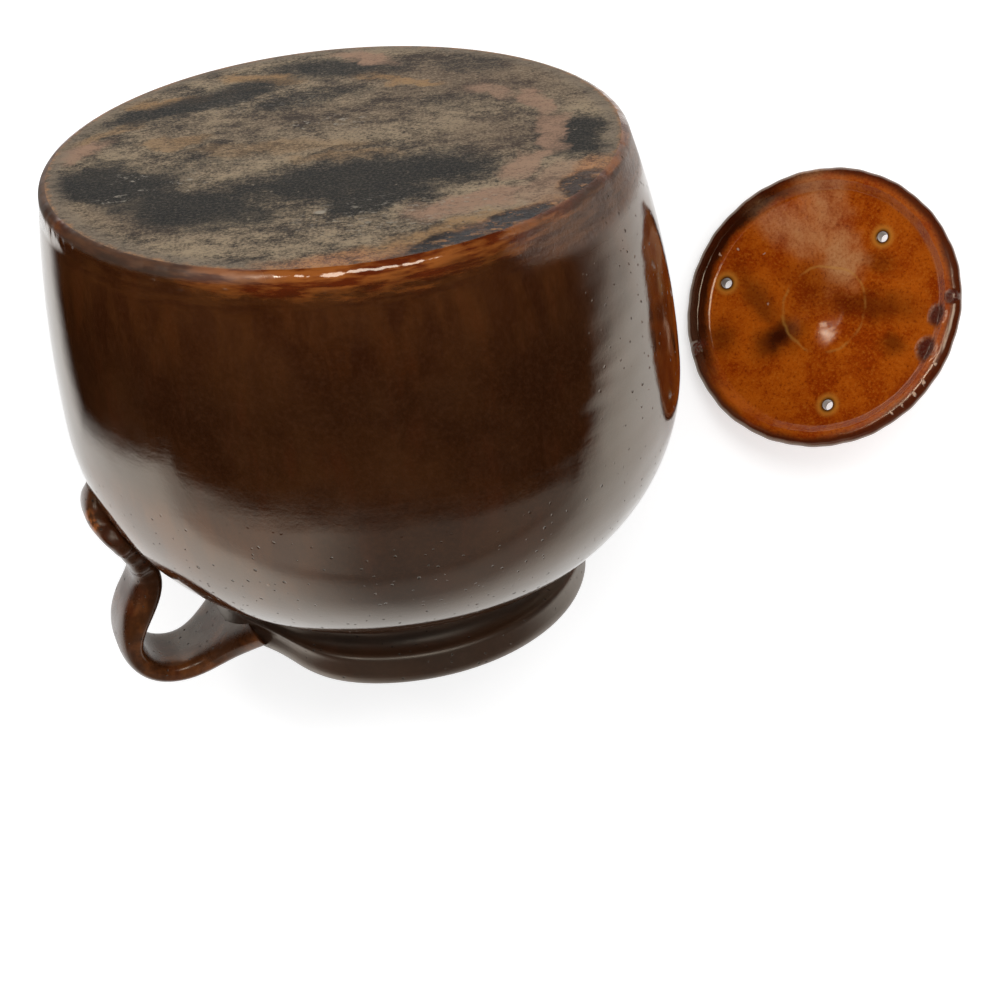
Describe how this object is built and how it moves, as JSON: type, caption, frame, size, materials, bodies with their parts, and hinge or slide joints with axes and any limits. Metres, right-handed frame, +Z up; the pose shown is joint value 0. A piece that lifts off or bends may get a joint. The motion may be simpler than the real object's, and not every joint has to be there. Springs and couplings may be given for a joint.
{
  "type": "stoneware bean pot",
  "caption": "Squat glazed stoneware bean pot with a rolled collar and a strap handle, lying on its shoulder, with its loose knobbed lid upside down beside it.",
  "frame": {"origin": "middle of the bounding box, on the surface the pot and its lid lie on", "axes": "+Z is up, +X runs from the pot towards the lid beside it, and +Y runs from the pot's mouth towards its base"},
  "size_m": [0.2764, 0.1926, 0.191],
  "materials": {
    "pot_glaze": "glossy dark brown glaze with a bare, sooty base",
    "handle_glaze": "glossy dark brown glaze, amber where it pools",
    "lid_glaze": "thin amber glaze inside, dark brown on the rim and outside",
    "knob_glaze": "glossy dark brown glaze"
  },
  "bodies": {
    "pot": {"pot_body": "pot_glaze", "strap_handle": "handle_glaze"},
    "lid": {"lid_disc": "lid_glaze", "lid_knob": "knob_glaze"}
  },
  "joints": [
    {"name": "lid_lift", "type": "slide", "parent": "pot", "child": "lid", "axis": [0, 0, 1], "range_m": [0, 0.2]}
  ]
}
